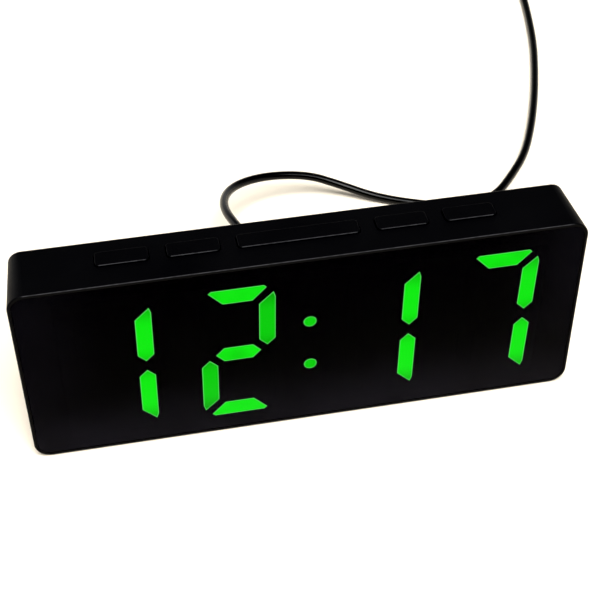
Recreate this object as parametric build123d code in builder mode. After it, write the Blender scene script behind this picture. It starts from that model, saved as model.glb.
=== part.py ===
from build123d import *

import os
from math import cos, pi, radians, sin, tan

import numpy as np

os.makedirs("parts", exist_ok=True)

# A slim desk clock with green LED digits, in millimetres.
# X runs to the right, Y to the back, Z up. The origin is under the middle of the case.

# Case around the digits
side_border = 15.3
upper_border = 7.85
lower_border = 6.15
corner_radius = 4.9
side_draft = 1.08
top_draft = 0.7
wall = 2.0
rim = 1.0
front_edge_radius = 0.4
back_edge_radius = 1.2
fit_gap = 0.1

# Foot pads
pad_radius = 3.0
pad_thickness = 1.0
pad_proud = 0.4
pad_inset_x = 16.5
pad_inset_y = 5.0

# Layers behind the front edge
film_recess = 0.1
film_thickness = 0.5
carrier_thickness = 1.5
reflector_depth = 3.5
board_thickness = 1.2
diffuser_depth = 1.0
well_gap = 0.05

# Digits
digit_height = 49.1
digit_width = 21.7
digit_gap = 13.5
digit_middle_gap = 20.6
digit_lean = 1.3
display_shift = 1.1
dot_radius = 1.9
dot_spacing = 16.85

# Segments: bars across and posts upright
post_width = 4.7
bar_height = 5.1
bar_end_inset = 2.55
bar_neck_inset = 6.6
bar_nip = 0.8
middle_end_inset = 4.25
middle_neck_inset = 6.65
post_apex = 1.8
post_shoulder = 4.15
post_inner_drop = 6.75
post_tip_drop = 2.8
post_outer_drop = 4.65
tip_inset = 0.6

# Display housing, posts and screws
reflector_margin = 2.45
window_lip_x = 2.5
window_lip_z = 1.2
window_gap = 0.1
post_inset = 5.9
post_radius = 2.5
post_side_gap = 0.6
screw_inset_z = 7.6
boss_radius = 3.25
boss_height = 3.0
counterbore_radius = 2.3
counterbore_depth = 1.9
clearance_radius = 1.2
thread_gap = 0.02
long_head_radius = 2.0
long_head_height = 1.5
long_shank_radius = 1.0
long_shank_length = 11.0
pilot_spare = 1.0

# LED board
board_inset = 4.0
notch_gap = 0.5
board_post_inset = 6.1
board_post_radius = 1.9
board_post_spacing = 16.0
short_head_radius = 1.8
short_head_height = 1.2
short_shank_radius = 0.95
short_shank_length = 4.0
board_hole_radius = 1.15
chip_length = 2.0
chip_width = 1.25
chip_height = 0.7

# Parts on the back of the LED board
controller_size = (18.0, 2.3, 7.5)
controller_inset = 48.5
controller_rise = 5.5
controller_lead = (0.4, 0.3, 1.6)
controller_lead_pitch = 1.27
controller_lead_count = 13
crystal_radius = 1.0
crystal_length = 6.0
crystal_inset = 68.5
crystal_rise = 9.5
capacitor_radius = 3.15
capacitor_height = 7.7
capacitor_inset = 38.5
capacitor_drop = 15.5
buzzer_radius = 6.0
buzzer_height = 8.5
buzzer_bore = 1.2
buzzer_bore_depth = 1.5
buzzer_inset = 24.5
buzzer_drop = 1.5
sound_hole_radius = 0.7
sound_ring_radius = 2.6
sound_hole_count = 6
connector_size = (6.0, 6.0, 5.6)
connector_reach = 12.0

# Keys
key_depth = 6.0
key_setback = 8.7
short_key = 15.0
long_key = 35.0
key_spacing = 5.0
key_corner = 1.2
key_proud = 0.55
key_edge_radius = 0.35
key_travel = 0.5
key_gap = 0.2
key_lip = 0.8
key_lip_thickness = 0.85
key_lip_gap = 0.15
key_rib_radius = 2.0
key_rib_height = 0.7
stem_radius = 1.7
stem_proud = 0.7
stem_depth = 1.4
stem_gap = 0.1
switch_side = 6.0
switch_height = 3.3

# Key board
key_board_thickness = 1.0
key_board_depth = 7.6
key_board_end = 3.5
key_boss_clearance = 5.0
key_boss_radius = 2.2
shelf_thickness = 1.2
shelf_height = 3.0
shelf_reach = 0.7
ribbon_shelf_gap = 2.0
ribbon_width = 8.0
ribbon_thickness = 0.6
ribbon_drop = 4.0
ribbon_bend = 1.5

# Battery bay and its cells
cell_radius = 5.2
cell_length = 44.5
nub_radius = 1.9
nub_height = 0.8
cell_edge_radius = 0.5
cell_gap = 0.5
cell_side_gap = 0.3
cell_floor_gap = 0.1
cell_back_gap = 1.3
cell_count = 3
bay_wall = 1.2
bay_floor = 0.8
bay_board_gap = 0.4
bay_inset = 11.25
bay_drop = 0.1
plate_thickness = 0.3
plate_side = 9.0
bump_radius = 2.0
bump_height = 0.3
spring_length = 4.0
spring_wire = 0.6
spring_wide_radius = 3.6
spring_narrow_radius = 2.2
spring_turns = 3
contact_gap = 0.1
tab_width = 3.0
tab_reach = 2.0
tab_gap = 0.2

# Battery door
door_thickness = 1.2
door_ledge = 1.8
door_gap = 0.2
door_edge_radius = 0.4
door_corner = 1.5
hook_spacing = 28.0
hook_width = 6.0
hook_gap = 0.6
hook_thickness = 0.9
hook_drop = 0.3
hook_neck = 1.4
hook_side_gap = 0.3
latch_width = 10.0
latch_thickness = 0.9
latch_reach = 2.2
latch_gap = 0.4
scoop_width = 12.0
scoop_height = 4.0
scoop_depth = 1.0
grip_line_count = 4
grip_line_width = 8.0
grip_line_height = 0.5
grip_line_pitch = 1.5
grip_line_depth = 0.3

# Cord, its grip and the wires
cord_diameter = 3.0
grip_x = -4.0
grip_drop = 6.1
grip_flange_radius = 4.5
grip_flange_thickness = 1.5
grip_neck_radius = 3.2
grip_collar_radius = 4.2
grip_collar_thickness = 1.2
grip_length = 20.0
relief_wall = 0.6
grip_groove_count = 5
grip_groove_width = 1.0
grip_groove_depth = 0.4
wire_radius = 0.55
wire_spacing = 1.8
wire_bend = 1.5
power_wire_bend_share = 0.64
battery_wire_rise = 1.8

# Cord route from the grip to the coil, chosen along the photographed line
cord_route = [
    (-4.0, 30.5, 25.0),
    (-4.0, 40.5, 25.0),
    (-10.0, 56.5, 24.0),
    (-13.0, 75.5, 19.5),
    (-8.0, 92.0, 14.5),
    (5.0, 100.5, 11.5),
    (22.0, 101.5, 9.0),
    (34.0, 98.0, 5.0),
    (46.0, 92.0, 2.0),
    (60.5, 87.0, 1.5),
    (76.0, 83.5, 1.5),
    (90.0, 86.0, 1.5),
    (100.0, 94.5, 1.5),
    (108.5, 108.0, 1.5),
    (116.5, 124.5, 1.5),
    (124.0, 143.0, 1.5),
    (131.0, 163.0, 1.5),
    (137.5, 184.0, 1.5),
    (142.5, 205.5, 1.5),
    (146.5, 226.0, 1.5),
    (148.2, 243.0, 2.35),
    (148.2, 254.5, 2.35),
]
arc_share = 0.45

# Coil, tie and plug
coil_mean_radius = 16.5
coil_gap = 0.6
layer_quarters = 12
climb_quarters = 2
coil_quarters = 25
tail_length = 26.0
tie_thickness = 0.5
tie_gap = 0.35
tie_width = 4.0
tie_corner = 2.0
plug_boot_length = 8.0
plug_boot_radius = 3.2
plug_width = 15.5
plug_height = 8.0
plug_length = 22.0
plug_corner = 2.5
plug_edge_radius = 0.8
usb_width = 12.0
usb_height = 4.5
usb_length = 12.0
usb_wall = 0.3
usb_window = 2.2
usb_window_spacing = 5.2
usb_window_setback = 3.2
tongue_thickness = 1.9
tongue_setback = 0.8
tongue_gap = 0.1
contact_width = 1.0
contact_thickness = 0.15
contact_length = 8.5
contact_pitch = 2.3
contact_count = 4

# The case is as wide and high as the digits and their borders, and as deep as the display and a cell
case_width = 4 * digit_width + 2 * digit_gap + digit_middle_gap + 2 * side_border
case_height = pad_proud + lower_border + digit_height + upper_border
display_depth = film_recess + film_thickness + carrier_thickness + reflector_depth + board_thickness
bay_depth = bay_board_gap + bay_floor + cell_floor_gap + 2 * cell_radius + cell_back_gap
case_depth = display_depth + bay_depth + door_thickness

# Planes and places that follow from the sizes
front_y = -case_depth / 2
back_y = case_depth / 2
inner_back = back_y - wall
shell_bottom = pad_proud
shell_height = case_height - shell_bottom
film_front = front_y + film_recess
film_back = film_front + film_thickness
carrier_back = film_back + carrier_thickness
reflector_back = carrier_back + reflector_depth
board_back = reflector_back + board_thickness
display_z = shell_bottom + lower_border + digit_height / 2
half_case = case_width / 2
panel_width = case_width - 2 * (rim + fit_gap)
panel_height = shell_height - 2 * (rim + fit_gap)
panel_z = shell_bottom + shell_height / 2
panel_corner = corner_radius - rim - fit_gap
post_x = half_case - post_inset
post_low = shell_bottom + screw_inset_z
post_high = case_height - top_draft - screw_inset_z
boss_front = inner_back - boss_height
reflector_width = 2 * (post_x - post_radius - post_side_gap)
reflector_height = digit_height + 2 * reflector_margin
window_width = reflector_width - 2 * window_lip_x
window_height = reflector_height - 2 * window_lip_z
board_width = case_width - 2 * board_inset
board_post_x = half_case - board_post_inset
controller_x = half_case - controller_inset
crystal_x = half_case - crystal_inset
capacitor_x = half_case - capacitor_inset
buzzer_x = half_case - buzzer_inset
controller_z = display_z + controller_rise
crystal_z = display_z + crystal_rise
capacitor_z = display_z - capacitor_drop
buzzer_z = display_z - buzzer_drop
grip_z = display_z - grip_drop
key_y = front_y + key_setback + key_depth / 2
inner_key_x = long_key / 2 + key_spacing + short_key / 2
outer_key_x = inner_key_x + short_key + key_spacing
key_boss_x = outer_key_x + short_key / 2 + key_boss_clearance
key_board_length = 2 * (key_boss_x + key_board_end)
shelf_x = (long_key + key_spacing) / 2
ribbon_x = shelf_x + ribbon_shelf_gap + ribbon_width / 2


def back_share(y):
    """How far back y lies in the case: 0 at the front, 1 at the back."""
    return (y - front_y) / case_depth


def outer_top(y):
    return case_height - top_draft * back_share(y)


def facing(y):
    """Sketch plane across the case at depth y, with X to the right and Z up."""
    return Plane.XZ.offset(-y)


def case_outline(y, inset):
    """The case's rounded outline at depth y, drawn inset all round."""
    draft = side_draft * back_share(y)
    top = outer_top(y) - inset
    bottom = shell_bottom + inset
    with Locations((0, (top + bottom) / 2)):
        RectangleRounded(case_width - 2 * (draft + inset), top - bottom, corner_radius - draft - inset)


def seen_from_back(x, y, z):
    """Place whose own Z axis points out of the back."""
    return Location((x, y, z), (-90, 0, 0))


def finish(piece, name):
    piece.part.label = name
    export_step(piece.part, f"parts/{name}.step")


housing_posts = [(side * post_x, z) for side in (-1, 1) for z in (post_low, post_high)]
board_posts = [
    (side * board_post_x, display_z + half * board_post_spacing / 2) for side in (-1, 1) for half in (-1, 1)
]
pads = [
    (side * (half_case - pad_inset_x), half * (back_y - pad_inset_y)) for side in (-1, 1) for half in (-1, 1)
]
keys = {
    "key_far_left": (-outer_key_x, short_key),
    "key_left": (-inner_key_x, short_key),
    "key_centre": (0, long_key),
    "key_right": (inner_key_x, short_key),
    "key_far_right": (outer_key_x, short_key),
}

# Heights under the keys
lip_top = outer_top(key_y + key_depth / 2 + key_lip) - wall - key_lip_gap
lip_bottom = lip_top - key_lip_thickness
stem_top = lip_bottom - key_rib_height
switch_top = stem_top - stem_proud
key_board_top = switch_top - switch_height
key_board_bottom = key_board_top - key_board_thickness

# Battery bay places
bay_floor_front = board_back + bay_board_gap
bay_floor_back = bay_floor_front + bay_floor
cell_y = bay_floor_back + cell_floor_gap + cell_radius
cell_pitch = 2 * cell_radius + cell_gap
bay_height = (cell_count - 1) * cell_pitch + 2 * (cell_radius + cell_side_gap)
bay_length = cell_length + spring_length + 2 * plate_thickness + bump_height + contact_gap
bay_left = bay_inset - half_case
bay_right = bay_left + bay_length
bay_x = (bay_left + bay_right) / 2
bay_z = display_z - bay_drop
bay_bottom = bay_z - bay_height / 2
bay_top = bay_z + bay_height / 2
cell_heights = [bay_z + cell_pitch * (1 - row) for row in range(cell_count)]
door_inner = back_y - door_thickness
door_width = bay_length + 2 * (door_ledge - door_gap)
door_height = bay_height + 2 * (door_ledge - door_gap)
door_bottom = bay_z - door_height / 2
ledge_front = inner_back
hook_back = ledge_front - hook_gap
hook_front = hook_back - hook_thickness
hook_bottom = door_bottom - hook_drop
hook_neck_bottom = bay_bottom + hook_side_gap
hook_places = [bay_x - hook_spacing / 2, bay_x + hook_spacing / 2]
tab_high = bay_top + bay_wall + tab_reach
tab_low = bay_bottom - bay_wall - tab_reach

# Rear shell: the tray that is the whole outside but the front
with BuildPart() as rear_shell:
    with BuildSketch(facing(front_y)):
        case_outline(front_y, 0)
    with BuildSketch(facing(back_y)):
        case_outline(back_y, 0)
    loft(ruled=True)
    fillet(rear_shell.faces().sort_by(Axis.Y)[-1].edges(), radius=back_edge_radius)
    fillet(rear_shell.faces().sort_by(Axis.Y)[0].edges(), radius=front_edge_radius)
    with BuildSketch(facing(front_y)):
        case_outline(front_y, wall)
    with BuildSketch(facing(inner_back)):
        case_outline(inner_back, wall)
    loft(ruled=True, mode=Mode.SUBTRACT)
    with BuildSketch(facing(front_y)):
        with Locations((0, panel_z)):
            RectangleRounded(case_width - 2 * rim, shell_height - 2 * rim, corner_radius - rim)
    extrude(amount=-(carrier_back - front_y), mode=Mode.SUBTRACT)
    with BuildSketch(facing(boss_front)):
        with Locations(*housing_posts):
            Circle(boss_radius)
    extrude(amount=-boss_height)
    with BuildSketch(facing(bay_floor_front)):
        with Locations((bay_x, bay_z)):
            Rectangle(bay_length + 2 * bay_wall, bay_height + 2 * bay_wall)
    extrude(amount=-(inner_back - bay_floor_front))
    with BuildSketch(facing(bay_floor_back)):
        with Locations((bay_x, bay_z)):
            Rectangle(bay_length, bay_height)
    extrude(amount=-(back_y - bay_floor_back), mode=Mode.SUBTRACT)
    with BuildSketch(facing(door_inner)):
        with Locations((bay_x, bay_z)):
            RectangleRounded(bay_length + 2 * door_ledge, bay_height + 2 * door_ledge, door_corner + door_gap)
    extrude(amount=-door_thickness, mode=Mode.SUBTRACT)
    hook_way = hook_width + 2 * hook_side_gap
    hook_room = bay_bottom - hook_bottom + hook_side_gap
    for x in hook_places:
        with BuildSketch(facing(hook_front - hook_side_gap)):
            with Locations((x, bay_bottom - hook_room / 2)):
                Rectangle(hook_way, hook_room)
        extrude(amount=-(inner_back - hook_front + hook_side_gap), mode=Mode.SUBTRACT)
    latch_room = latch_gap + latch_thickness + latch_gap
    with BuildSketch(facing(door_inner - latch_reach - latch_gap)):
        with Locations((bay_x, bay_top + latch_room / 2)):
            Rectangle(latch_width + 2 * latch_gap, latch_room)
    extrude(amount=-(latch_reach + latch_gap), mode=Mode.SUBTRACT)
    with BuildSketch(facing(back_y - scoop_depth)):
        with Locations((bay_x, bay_top + door_ledge)):
            SlotOverall(scoop_width, 2 * scoop_height)
    extrude(amount=-scoop_depth, mode=Mode.SUBTRACT)
    tab_way = plate_thickness + tab_gap
    for x, z in (
        (bay_left + tab_way / 2, bay_top + bay_wall / 2),
        (bay_right - tab_way / 2, bay_bottom - bay_wall / 2),
    ):
        with Locations((x, cell_y, z)):
            Box(tab_way, tab_width + 2 * tab_gap, bay_wall, mode=Mode.SUBTRACT)
    with BuildSketch(Plane.XY.offset(key_board_top)):
        with Locations((-key_boss_x, key_y), (key_boss_x, key_y)):
            Circle(key_boss_radius)
    extrude(amount=outer_top(key_y) - wall / 2 - key_board_top)
    shelf_front = key_y - shelf_reach
    for x in (-shelf_x, shelf_x):
        with Locations((x, (shelf_front + inner_back) / 2, key_board_bottom - shelf_height / 2)):
            Box(shelf_thickness, inner_back - shelf_front, shelf_height)
    for x, width in keys.values():
        with BuildSketch(Plane.XY.offset(case_height)):
            with Locations((x, key_y)):
                RectangleRounded(width + 2 * key_gap, key_depth + 2 * key_gap, key_corner + key_gap)
        extrude(amount=-(wall + top_draft), mode=Mode.SUBTRACT)
    with Locations(*[seen_from_back(x, back_y, z) for x, z in housing_posts]):
        CounterBoreHole(clearance_radius, counterbore_radius, counterbore_depth, depth=wall + boss_height)
    with Locations(*[Location((x, key_y, key_board_top), (180, 0, 0)) for x in (-key_boss_x, key_boss_x)]):
        Hole(short_shank_radius + thread_gap, depth=short_shank_length - key_board_thickness + pilot_spare)
    with Locations(seen_from_back(grip_x, back_y, grip_z)):
        Hole(grip_neck_radius, depth=wall)
    with Locations(seen_from_back(buzzer_x, back_y, buzzer_z)):
        Hole(sound_hole_radius, depth=wall)
        with PolarLocations(sound_ring_radius, sound_hole_count):
            Hole(sound_hole_radius, depth=wall)
    for x, y in pads:
        with Locations((x, y, shell_bottom + (pad_thickness - pad_proud) / 2)):
            Cylinder(pad_radius + fit_gap, pad_thickness - pad_proud, mode=Mode.SUBTRACT)
finish(rear_shell, "rear_shell")

# Foot pads: four thin rubber discs let into the underside
with BuildPart() as foot_pads:
    with BuildSketch():
        with Locations(*pads):
            Circle(pad_radius)
    extrude(amount=pad_thickness)
finish(foot_pads, "foot_pads")

# Front film: the smoked window over the display
with BuildPart() as front_film:
    with BuildSketch(facing(film_front)):
        with Locations((0, panel_z)):
            RectangleRounded(panel_width, panel_height, panel_corner)
    extrude(amount=-film_thickness)
finish(front_film, "front_film")

# Display carrier: the frame behind the film, with posts for the housing and board screws
housing_pilot_depth = long_shank_length + counterbore_depth - wall - boss_height + pilot_spare
with BuildPart() as display_carrier:
    with BuildSketch(facing(film_back)):
        with Locations((0, panel_z)):
            RectangleRounded(panel_width, panel_height, panel_corner)
        with Locations((0, display_z)):
            Rectangle(window_width + 2 * window_gap, window_height + 2 * window_gap, mode=Mode.SUBTRACT)
    extrude(amount=-carrier_thickness)
    with BuildSketch(facing(carrier_back)):
        with Locations(*housing_posts):
            Circle(post_radius)
    extrude(amount=-(boss_front - carrier_back))
    with BuildSketch(facing(carrier_back)):
        with Locations(*board_posts):
            Circle(board_post_radius)
    extrude(amount=-reflector_depth)
    with Locations(*[seen_from_back(x, boss_front, z) for x, z in housing_posts]):
        Hole(long_shank_radius + thread_gap, depth=housing_pilot_depth)
    with Locations(*[seen_from_back(x, reflector_back, z) for x, z in board_posts]):
        Hole(short_shank_radius + thread_gap, depth=reflector_depth)
finish(display_carrier, "display_carrier")

# Segment outlines of one digit, about its centre and upright
half_height = digit_height / 2
post_outer = digit_width / 2
post_inner = post_outer - post_width
post_middle = post_outer - post_width / 2
half_bar = bar_height / 2
bar_reach = post_outer - bar_end_inset
bar_neck = post_outer - bar_neck_inset
middle_reach = post_outer - middle_end_inset
middle_neck = post_outer - middle_neck_inset
post_inner_top = half_height - post_inner_drop
post_outer_top = half_height - post_outer_drop
post_tip = half_height - post_tip_drop
top_bar = [
    (-bar_reach, half_height - bar_nip),
    (-bar_reach + bar_nip, half_height),
    (bar_reach - bar_nip, half_height),
    (bar_reach, half_height - bar_nip),
    (bar_neck, half_height - bar_height),
    (-bar_neck, half_height - bar_height),
]
middle_bar = [
    (-middle_reach, 0),
    (-middle_neck, half_bar),
    (middle_neck, half_bar),
    (middle_reach, 0),
    (middle_neck, -half_bar),
    (-middle_neck, -half_bar),
]
upper_right_post = [
    (post_inner, post_shoulder),
    (post_middle, post_apex),
    (post_outer, post_shoulder),
    (post_outer, post_outer_top),
    (post_outer - tip_inset, post_tip),
    (post_inner, post_inner_top),
]


def turned(points, across, up):
    return [(across * x, up * z) for x, z in points]


def along(start, end):
    """A quarter and three quarters of the way from start to end, where a segment's two chips lie."""
    return [start + (end - start) * quarters / 4 for quarters in (1, 3)]


bar_half_length = (bar_reach + bar_neck) / 2
top_chips = [(x, half_height - half_bar) for x in along(-bar_half_length, bar_half_length)]
middle_chips = [(x, 0) for x in along(-middle_neck, middle_neck)]
post_chips = [(post_middle, z) for z in along(post_shoulder, post_inner_top)]
segments = {
    "a": (top_bar, top_chips),
    "b": (upper_right_post, post_chips),
    "c": (turned(upper_right_post, 1, -1), turned(post_chips, 1, -1)),
    "d": (turned(top_bar, 1, -1), turned(top_chips, 1, -1)),
    "e": (turned(upper_right_post, -1, -1), turned(post_chips, -1, -1)),
    "f": (turned(upper_right_post, -1, 1), turned(post_chips, -1, 1)),
    "g": (middle_bar, middle_chips),
}
inner_digit = (digit_middle_gap + digit_width) / 2
outer_digit = inner_digit + digit_width + digit_gap
digits = {
    "hour_tens": (display_shift - outer_digit, "bc"),
    "hour_units": (display_shift - inner_digit, "abged"),
    "minute_tens": (display_shift + inner_digit, "bc"),
    "minute_units": (display_shift + outer_digit, "abc"),
}
dots = [(display_shift, display_z - dot_spacing / 2), (display_shift, display_z + dot_spacing / 2)]


def placed(points, centre_x):
    """The points of a digit at centre_x, leaning to the right."""
    return [(centre_x + x + z * tan(radians(digit_lean)), display_z + z) for x, z in points]


# Display reflector: the block whose wells keep the light of each segment apart
with BuildPart() as display_reflector:
    with BuildSketch(facing(film_back)):
        with Locations((0, display_z)):
            Rectangle(window_width, window_height)
    extrude(amount=-carrier_thickness)
    with BuildSketch(facing(carrier_back)):
        with Locations((0, display_z)):
            Rectangle(reflector_width, reflector_height)
    extrude(amount=-reflector_depth)
    with BuildSketch(facing(film_back)):
        for centre_x, lit in digits.values():
            for outline, chips in segments.values():
                Polygon(*placed(outline, centre_x), align=None)
        with Locations(*dots):
            Circle(dot_radius)
        offset(amount=well_gap, kind=Kind.INTERSECTION)
    extrude(amount=-(reflector_back - film_back), mode=Mode.SUBTRACT)
finish(display_reflector, "display_reflector")

# Lit and unlit segments: the diffusers that fill the mouths of the wells
for name, (centre_x, lit) in digits.items():
    for state, letters in (("lit", lit), ("unlit", [s for s in segments if s not in lit])):
        with BuildPart() as diffusers:
            with BuildSketch(facing(film_back)):
                for letter in letters:
                    Polygon(*placed(segments[letter][0], centre_x), align=None)
            extrude(amount=-diffuser_depth)
        finish(diffusers, f"{name}_{state}")

# Colon dots
with BuildPart() as colon_dots:
    with BuildSketch(facing(film_back)):
        with Locations(*dots):
            Circle(dot_radius)
    extrude(amount=-diffuser_depth)
finish(colon_dots, "colon_dots")

# LED board, with corners notched for the posts
with BuildPart() as led_board:
    notch_width = board_width / 2 - post_x + post_radius + notch_gap
    with BuildSketch(facing(reflector_back)):
        with Locations((0, display_z)):
            Rectangle(board_width, reflector_height)
        for side, z, half in (
            (-1, post_low, -1),
            (1, post_low, -1),
            (-1, post_high, 1),
            (1, post_high, 1),
        ):
            notch_inner = z - half * (post_radius + notch_gap)
            notch_outer = display_z + half * reflector_height / 2
            with Locations((side * (board_width - notch_width) / 2, (notch_inner + notch_outer) / 2)):
                Rectangle(notch_width, abs(notch_outer - notch_inner), mode=Mode.SUBTRACT)
        with Locations(*board_posts):
            Circle(board_hole_radius, mode=Mode.SUBTRACT)
    extrude(amount=-board_thickness)
finish(led_board, "led_board")

# LED chips: two in each segment and one behind each dot
chip_places = list(dots)
for centre_x, lit in digits.values():
    for outline, chips in segments.values():
        chip_places += placed(chips, centre_x)
with BuildPart() as led_chips:
    with BuildSketch(facing(reflector_back - chip_height)):
        with Locations(*chip_places):
            Rectangle(chip_length, chip_width)
    extrude(amount=-chip_height)
finish(led_chips, "led_chips")

# Controller chip with its two rows of leads
with BuildPart() as controller_chip:
    body_width, body_depth, body_height = controller_size
    lead_width, lead_depth, lead_reach = controller_lead
    with BuildSketch(facing(board_back)):
        with Locations((controller_x, controller_z)):
            Rectangle(body_width, body_height)
    extrude(amount=-body_depth)
    with BuildSketch(facing(board_back)):
        with Locations((controller_x, controller_z)):
            with GridLocations(controller_lead_pitch, body_height + lead_reach, controller_lead_count, 2):
                Rectangle(lead_width, lead_reach)
    extrude(amount=-lead_depth)
finish(controller_chip, "controller_chip")

# Quartz crystal: a small can lying on the board
with BuildPart() as quartz_crystal:
    with Locations(Location((crystal_x, board_back + crystal_radius, crystal_z), (0, 90, 0))):
        Cylinder(crystal_radius, crystal_length)
finish(quartz_crystal, "quartz_crystal")

# Smoothing capacitor standing on the board
with BuildPart() as smoothing_capacitor:
    with BuildSketch(facing(board_back)):
        with Locations((capacitor_x, capacitor_z)):
            Circle(capacitor_radius)
    extrude(amount=-capacitor_height)
    fillet(smoothing_capacitor.faces().sort_by(Axis.Y)[-1].edges(), radius=capacitor_radius / 8)
finish(smoothing_capacitor, "smoothing_capacitor")

# Buzzer standing on the board behind the sound holes
with BuildPart() as buzzer:
    with BuildSketch(facing(board_back)):
        with Locations((buzzer_x, buzzer_z)):
            Circle(buzzer_radius)
    extrude(amount=-buzzer_height)
    with Locations(seen_from_back(buzzer_x, board_back + buzzer_height, buzzer_z)):
        Hole(buzzer_bore, depth=buzzer_bore_depth)
finish(buzzer, "buzzer")

# Power connector for the two wires of the cord
connector_x = grip_x + connector_reach
with BuildPart() as power_connector:
    connector_width, connector_depth, connector_height = connector_size
    with BuildSketch(facing(board_back)):
        with Locations((connector_x, grip_z)):
            Rectangle(connector_width, connector_height)
    extrude(amount=-connector_depth)
finish(power_connector, "power_connector")


# Keys with the switch stems that they press
for name, (x, width) in keys.items():
    with BuildPart() as key:
        with BuildSketch(Plane.XY.offset(lip_bottom)):
            with Locations((x, key_y)):
                RectangleRounded(width + 2 * key_lip, key_depth + 2 * key_lip, key_corner)
        extrude(amount=key_lip_thickness)
        with BuildSketch(Plane.XY.offset(lip_bottom)):
            with Locations((x, key_y)):
                RectangleRounded(width, key_depth, key_corner)
        extrude(amount=outer_top(key_y) + key_proud - lip_bottom)
        fillet(key.faces().sort_by(Axis.Z)[-1].edges(), radius=key_edge_radius)
        with BuildSketch(Plane.XY.offset(stem_top)):
            with Locations((x, key_y)):
                Circle(key_rib_radius)
        extrude(amount=key_rib_height)
    finish(key, name)
    with BuildPart() as stem:
        with BuildSketch(Plane.XY.offset(switch_top - stem_depth)):
            with Locations((x, key_y)):
                Circle(stem_radius)
        extrude(amount=stem_depth + stem_proud)
    finish(stem, name.replace("key", "stem"))

# Switch bodies on the key board, each bored for its stem
with BuildPart() as switch_bodies:
    with BuildSketch(Plane.XY.offset(key_board_top)):
        with Locations(*[(x, key_y) for x, width in keys.values()]):
            Rectangle(switch_side, switch_side)
    extrude(amount=switch_height)
    with Locations(*[(x, key_y, switch_top) for x, width in keys.values()]):
        Hole(stem_radius + stem_gap, depth=stem_depth + 2 * key_travel)
finish(switch_bodies, "switch_bodies")

# Key board: the strip that carries the switches
with BuildPart() as key_board:
    with BuildSketch(Plane.XY.offset(key_board_bottom)):
        with Locations((0, key_y)):
            Rectangle(key_board_length, key_board_depth)
        with Locations((-key_boss_x, key_y), (key_boss_x, key_y)):
            Circle(board_hole_radius, mode=Mode.SUBTRACT)
    extrude(amount=key_board_thickness)
finish(key_board, "key_board")

# Key ribbon: the flat cable from the key board to the LED board
with BuildPart() as key_ribbon:
    with BuildSketch(Plane.YZ.offset(ribbon_x - ribbon_width / 2)):
        with BuildLine():
            FilletPolyline(
                (key_y, key_board_bottom),
                (key_y, key_board_bottom - ribbon_drop),
                (board_back, key_board_bottom - ribbon_drop),
                radius=ribbon_bend,
            )
        trace(line_width=ribbon_thickness)
    extrude(amount=ribbon_width)
finish(key_ribbon, "key_ribbon")


def pan_screw(head_radius, head_height, shank_radius, shank_length):
    """A cross-head screw along Z, its head on top of the origin and its shank below."""
    with BuildPart() as screw:
        Cylinder(head_radius, head_height, align=(Align.CENTER, Align.CENTER, Align.MIN))
        fillet(screw.faces().sort_by(Axis.Z)[-1].edges(), radius=head_height / 3)
        with Locations((0, 0, head_height)):
            Box(head_radius, head_radius / 5, head_height, mode=Mode.SUBTRACT)
            Box(head_radius / 5, head_radius, head_height, mode=Mode.SUBTRACT)
        Cylinder(shank_radius, shank_length, align=(Align.CENTER, Align.CENTER, Align.MAX))
    return screw.part


# Screws
long_screw = pan_screw(long_head_radius, long_head_height, long_shank_radius, long_shank_length)
short_screw = pan_screw(short_head_radius, short_head_height, short_shank_radius, short_shank_length)
with BuildPart() as housing_screws:
    with Locations(*[seen_from_back(x, back_y - counterbore_depth, z) for x, z in housing_posts]):
        add(long_screw)
finish(housing_screws, "housing_screws")
with BuildPart() as board_screws:
    with Locations(*[seen_from_back(x, board_back, z) for x, z in board_posts]):
        add(short_screw)
finish(board_screws, "board_screws")
with BuildPart() as key_board_screws:
    with Locations(*[Location((x, key_y, key_board_bottom), (180, 0, 0)) for x in (-key_boss_x, key_boss_x)]):
        add(short_screw)
finish(key_board_screws, "key_board_screws")

# Battery door, hooked at its lower edge and latched at its upper one
with BuildPart() as battery_door:
    with BuildSketch(facing(door_inner)):
        with Locations((bay_x, bay_z)):
            RectangleRounded(door_width, door_height, door_corner)
    extrude(amount=-door_thickness)
    fillet(battery_door.faces().sort_by(Axis.Y)[-1].edges(), radius=door_edge_radius)
    hook_top = hook_neck_bottom + hook_neck
    for x in hook_places:
        with BuildSketch(Plane.YZ.offset(x - hook_width / 2)):
            Polygon(
                (door_inner, hook_top),
                (hook_front, hook_top),
                (hook_front, hook_bottom),
                (hook_back, hook_bottom),
                (hook_back, hook_neck_bottom),
                (door_inner, hook_neck_bottom),
                align=None,
            )
        extrude(amount=hook_width)
    with Locations((bay_x, door_inner - latch_reach / 2, bay_top + latch_gap + latch_thickness / 2)):
        Box(latch_width, latch_reach, latch_thickness)
    with BuildSketch(facing(back_y)):
        with Locations((bay_x, bay_top - grip_line_count * grip_line_pitch)):
            with GridLocations(0, grip_line_pitch, 1, grip_line_count):
                SlotOverall(grip_line_width, grip_line_height)
    extrude(amount=grip_line_depth, mode=Mode.SUBTRACT)
finish(battery_door, "battery_door")


def biarc_path(stations):
    """Tangent arcs through (point, direction) stations, two arcs for each pair."""
    for (start, start_way), (end, end_way) in zip(stations[:-1], stations[1:]):
        span = end - start
        both = start_way + end_way
        spread = 2 * (1 - start_way.dot(end_way))
        reach = span.dot(both)
        if spread < 1e-9:
            size = span.dot(span) / (2 * reach) if abs(reach) > 1e-9 else span.length / 2
        else:
            size = (-reach + (reach**2 + spread * span.dot(span)) ** 0.5) / spread
        joint = (start + start_way * size + end - end_way * size) * 0.5
        chord = (joint - start).normalized()
        joint_way = chord * (2 * chord.dot(start_way)) - start_way
        TangentArc(start, joint, tangent=start_way)
        TangentArc(joint, end, tangent=joint_way)


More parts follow.
